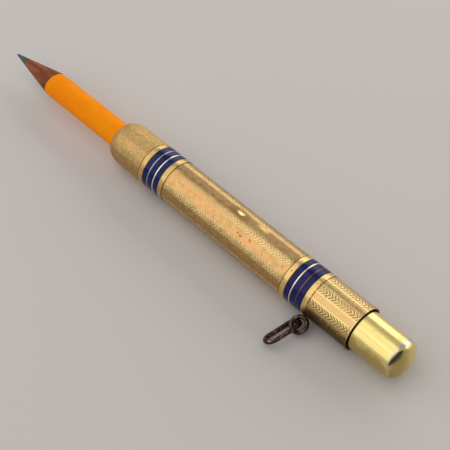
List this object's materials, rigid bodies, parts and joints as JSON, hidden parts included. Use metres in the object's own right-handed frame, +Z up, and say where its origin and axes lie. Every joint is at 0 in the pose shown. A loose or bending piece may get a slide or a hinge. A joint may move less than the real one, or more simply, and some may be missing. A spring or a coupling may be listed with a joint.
{
  "type": "pendant pencil",
  "caption": "Short wooden pencil in a brass drop barrel with blue enamel bands, a push button that opens the clutch, and a wire eye with an oval link to hang it by.",
  "frame": {"origin": "on the barrel's axis, at the middle of its length", "axes": "+X along the axis towards the button, -X towards the point, +Z up with the barrel lying on a table, the hanging eye on the -Y side"},
  "size_m": [0.1419, 0.0228, 0.012],
  "materials": {
    "engine_turned_brass": "engine turned, worn",
    "polished_brass": "polished",
    "plain_brass": "turned",
    "tarnished_brass": "tarnished",
    "blue_enamel": "fused glass, glossy",
    "spring_steel": "drawn wire",
    "orange_lacquer": "glossy lacquer",
    "cedar": "cut by a sharpener",
    "graphite": "cut graphite"
  },
  "bodies": {
    "barrel": {"barrel": "engine_turned_brass", "hanging_eye": "tarnished_brass", "closing_ring": "plain_brass", "rear_guide_bush": "plain_brass", "return_spring": "spring_steel", "front_enamel_ring_1": "blue_enamel", "front_enamel_ring_2": "blue_enamel", "front_enamel_ring_3": "blue_enamel", "rear_enamel_ring_1": "blue_enamel", "rear_enamel_ring_2": "blue_enamel", "rear_enamel_ring_3": "blue_enamel"},
    "clutch": {"clutch_tube": "plain_brass", "spring_collar": "plain_brass", "button_ring": "plain_brass", "button_cap": "polished_brass", "stop_disc": "plain_brass"},
    "jaw_1": {"clutch_jaw_1": "plain_brass"},
    "jaw_2": {"clutch_jaw_2": "plain_brass"},
    "jaw_3": {"clutch_jaw_3": "plain_brass"},
    "pencil": {"pencil_lacquer": "orange_lacquer", "pencil_wood_upper": "cedar", "pencil_wood_lower": "cedar", "pencil_lead": "graphite", "pencil_ferrule": "plain_brass"},
    "link": {"hanging_link": "tarnished_brass"}
  },
  "joints": [
    {"name": "button_press", "type": "slide", "parent": "barrel", "child": "clutch", "axis": [-1, 0, 0], "range_m": [0, 0.003], "stiffness_N_per_m": 800, "springref_m": -0.006, "deforming": ["return_spring"]},
    {"name": "pencil_drop", "type": "slide", "parent": "clutch", "child": "pencil", "axis": [1, 0, 0], "range_m": [0, 0.0445]},
    {"name": "link_swing", "type": "hinge", "parent": "barrel", "child": "link", "pos_m": [0.0292, -0.00939, -0.00458], "axis": [-1, 0, 0], "range_deg": [0, 100]},
    {"name": "jaw_1_open", "type": "hinge", "parent": "clutch", "child": "jaw_1", "pos_m": [-0.00365, 0, 0.0039], "axis": [0, 1, 0], "range_deg": [0, 1.2]},
    {"name": "jaw_2_open", "type": "hinge", "parent": "clutch", "child": "jaw_2", "pos_m": [-0.00365, -0.00338, -0.00195], "axis": [0, -0.5, 0.866], "range_deg": [0, 1.2]},
    {"name": "jaw_3_open", "type": "hinge", "parent": "clutch", "child": "jaw_3", "pos_m": [-0.00365, 0.00338, -0.00195], "axis": [0, -0.5, -0.866], "range_deg": [0, 1.2]}
  ],
  "couplings": [
    {"joint": "jaw_1_open", "follows": "button_press", "rad_per_m": 6.9},
    {"joint": "jaw_2_open", "follows": "button_press", "rad_per_m": 6.9},
    {"joint": "jaw_3_open", "follows": "button_press", "rad_per_m": 6.9}
  ]
}
